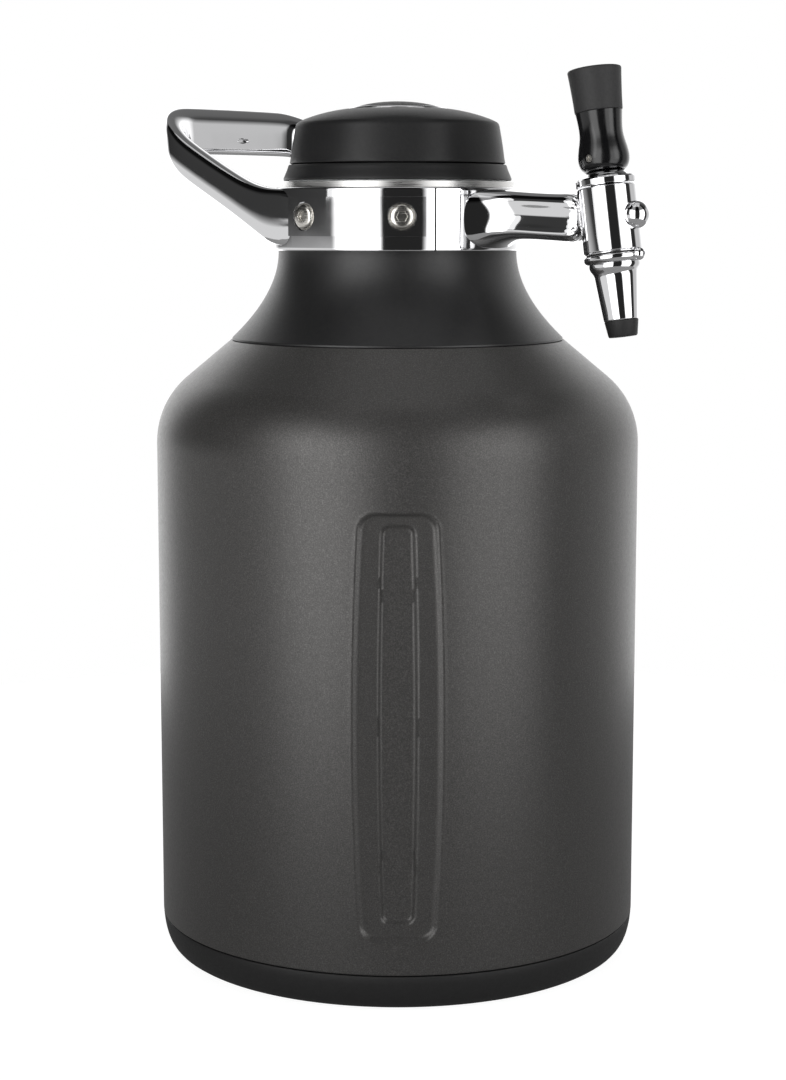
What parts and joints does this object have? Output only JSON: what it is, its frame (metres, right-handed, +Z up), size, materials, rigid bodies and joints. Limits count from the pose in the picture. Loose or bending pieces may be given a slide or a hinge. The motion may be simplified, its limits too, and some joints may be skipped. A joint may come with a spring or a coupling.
{
  "type": "growler",
  "caption": "Insulated draught growler with a neck clamp, fixed handle, lever tap and a screw cap that holds a gas regulator.",
  "frame": {"origin": "middle of the foot's underside, on the flask's axis", "axes": "+Z up along the flask's axis; -Y towards the pressed panel; the tap points 42 degrees from +X towards -Y, the handle the opposite way"},
  "size_m": [0.172, 0.172, 0.312],
  "materials": {
    "graphite_coat": "fine matte powder coat",
    "bare_steel": "satin stainless",
    "chrome": "polished",
    "screw_steel": "bright",
    "black_plastic": "fine matte",
    "soft_black": "matte",
    "gloss_black": "gloss",
    "food_silicone": "satin",
    "regulator_brass": "turned",
    "cartridge_steel": "drawn"
  },
  "bodies": {
    "flask": {"outer_shell": "graphite_coat", "base_plate": "bare_steel", "inner_vessel": "bare_steel", "mouth_ring": "bare_steel", "base_boot": "soft_black", "neck_collar": "black_plastic", "tap_clamp": "chrome", "handle_clamp": "chrome", "side_plate_front": "chrome", "side_plate_back": "chrome", "plate_screws": "screw_steel", "drink_nipple": "regulator_brass", "nipple_seal": "food_silicone", "dip_tube": "food_silicone", "tap_body": "chrome", "bonnet_ring": "chrome", "tap_nut": "chrome", "body_gasket": "food_silicone", "spout": "chrome", "spout_tip": "soft_black", "front_plug": "chrome", "nut_lock_screw": "chrome"},
    "lever": {"lever_stem": "bare_steel", "lever_collar": "gloss_black", "lever_set_screws": "screw_steel", "lever_grip": "soft_black"},
    "plunger": {"plunger": "bare_steel", "plunger_seal": "soft_black"},
    "cap": {"cap_gasket": "food_silicone", "cap_base": "black_plastic", "regulator_body": "regulator_brass", "diaphragm": "food_silicone", "regulator_spring": "bare_steel", "piercing_pin": "bare_steel", "cartridge_sleeve": "black_plastic", "gas_cartridge": "cartridge_steel", "cartridge_seal": "food_silicone", "gas_valve": "food_silicone"},
    "dial": {"pressure_dial": "black_plastic", "dial_bezel": "chrome", "dial_cap": "gloss_black", "adjusting_screw": "regulator_brass"}
  },
  "joints": [
    {"name": "lever_tilt", "type": "hinge", "parent": "flask", "child": "lever", "pos_m": [0.06855, -0.06172, 0.271], "axis": [0.6691, 0.7431, 0], "range_deg": [0, 16], "stiffness_Nm_per_rad": 0.6},
    {"name": "plunger_slide", "type": "slide", "parent": "flask", "child": "plunger", "axis": [0.7346, -0.6614, 0.1513], "range_m": [-0.0029, 0]},
    {"name": "cap_turn", "type": "hinge", "parent": "flask", "child": "cap", "pos_m": [0, 0, 0.27], "axis": [0, 0, 1], "range_deg": [0, 540]},
    {"name": "dial_turn", "type": "hinge", "parent": "cap", "child": "dial", "pos_m": [0, 0, 0.29], "axis": [0, 0, 1], "range_deg": [0, 270]}
  ],
  "couplings": [
    {"joint": "plunger_slide", "follows": "lever_tilt", "m_per_rad": -0.01}
  ]
}
